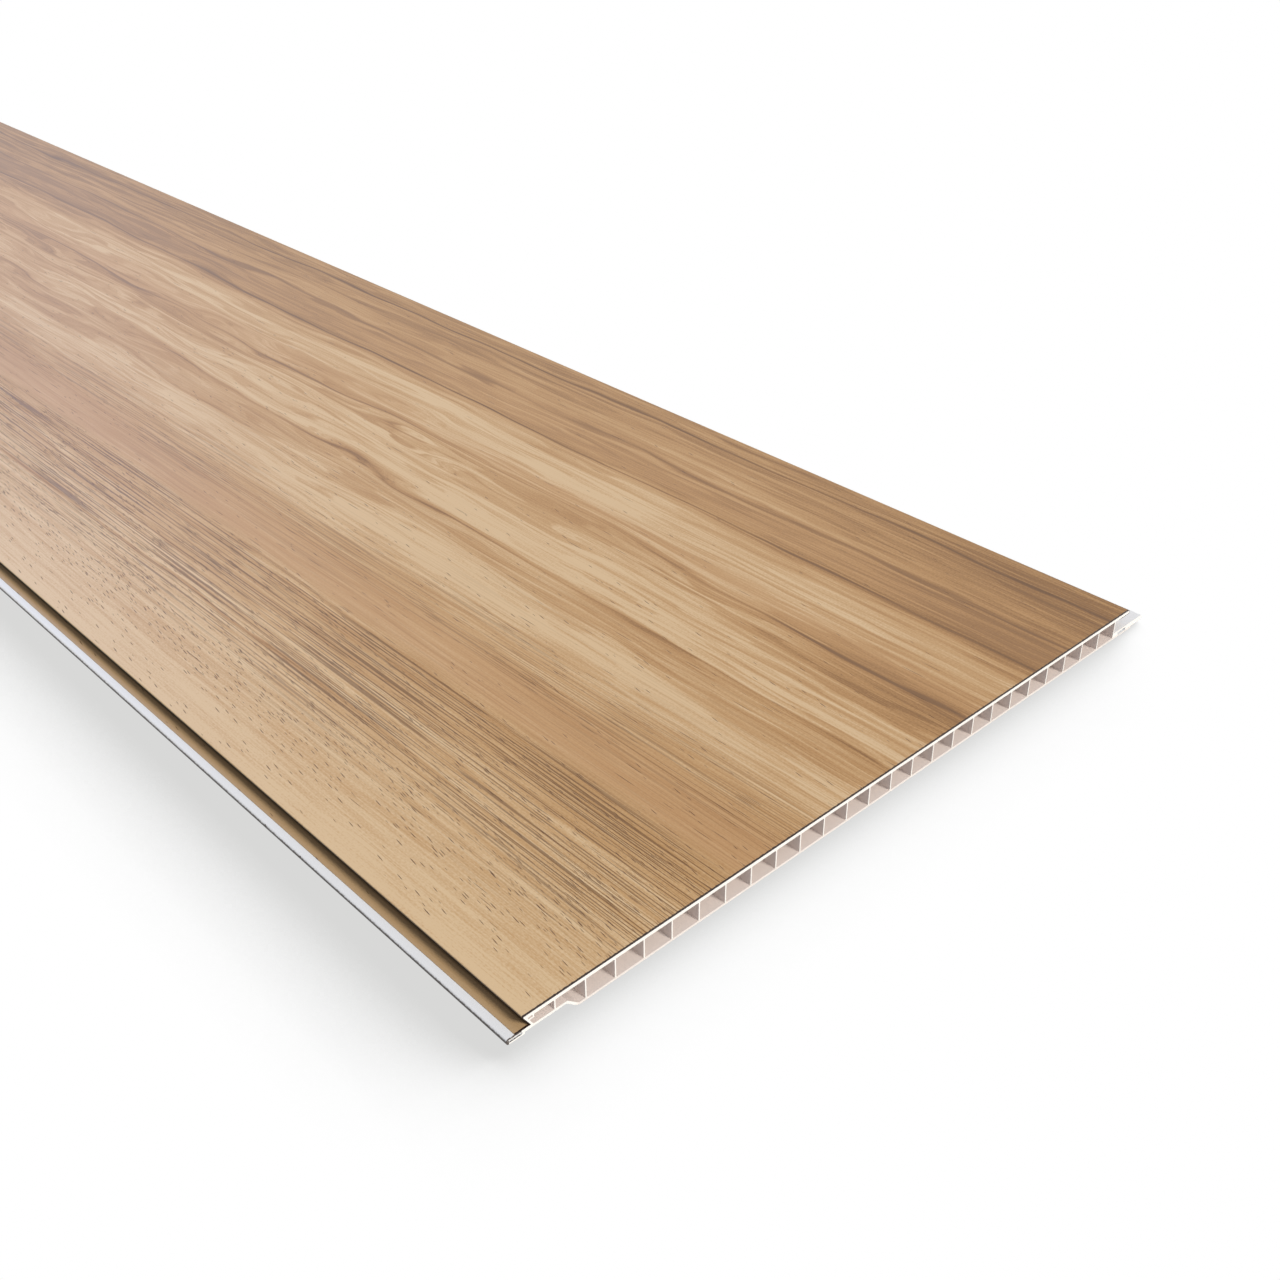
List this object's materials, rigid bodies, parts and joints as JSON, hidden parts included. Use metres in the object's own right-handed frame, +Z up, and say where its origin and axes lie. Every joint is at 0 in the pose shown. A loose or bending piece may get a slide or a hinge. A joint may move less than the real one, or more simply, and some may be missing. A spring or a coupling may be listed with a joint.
{
  "type": "ceiling panel",
  "caption": "Hollow-core extruded PVC ceiling panel with a wood-grain film face, a joint flange along one edge and a tongue along the other.",
  "frame": {"origin": "centre of the bounding box's underside, on the floor under the panel's back skin", "axes": "+X across the panel from the joint flange to the tongue, +Y along its length away from the cut end in the picture, +Z up out of the film-covered face"},
  "size_m": [0.264, 3, 0.008],
  "materials": {
    "white_pvc": "extruded rigid PVC, satin",
    "wood_film": "printed and embossed wood-grain decor film, satin"
  },
  "bodies": {
    "root": {"panel_extrusion": "white_pvc", "decor_film": "wood_film"}
  },
  "joints": []
}
